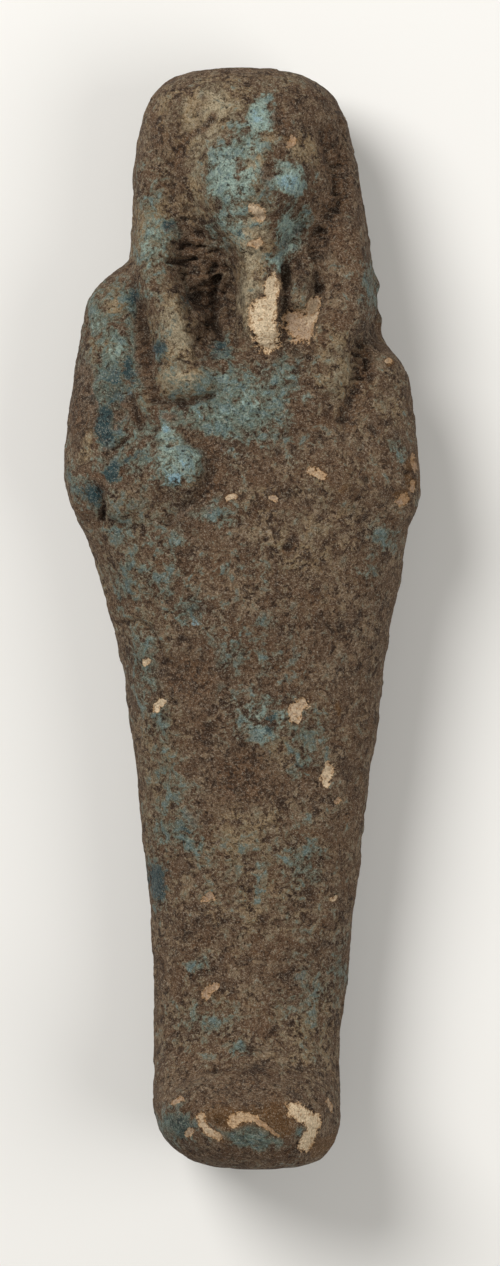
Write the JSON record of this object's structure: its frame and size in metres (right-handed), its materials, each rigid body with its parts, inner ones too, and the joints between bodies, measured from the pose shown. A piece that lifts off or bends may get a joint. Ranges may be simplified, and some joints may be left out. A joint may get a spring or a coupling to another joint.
{
  "type": "ushabti figurine",
  "caption": "Small mummy-shaped funerary figure with wig, beard, wrapped arms and feet, lying on its nearly flat back.",
  "frame": {"origin": "under the middle of the figure, on the plane that its back rests on", "axes": "+Y from the soles to the crown, +Z out of the chest, +X to the side of the figure's left arm"},
  "size_m": [0.0362, 0.11, 0.0231],
  "materials": {
    "weathered_faience": "matt brown burial crust over worn blue-green glaze, with small pale chips"
  },
  "bodies": {
    "root": {"figurine": "weathered_faience"}
  },
  "joints": []
}
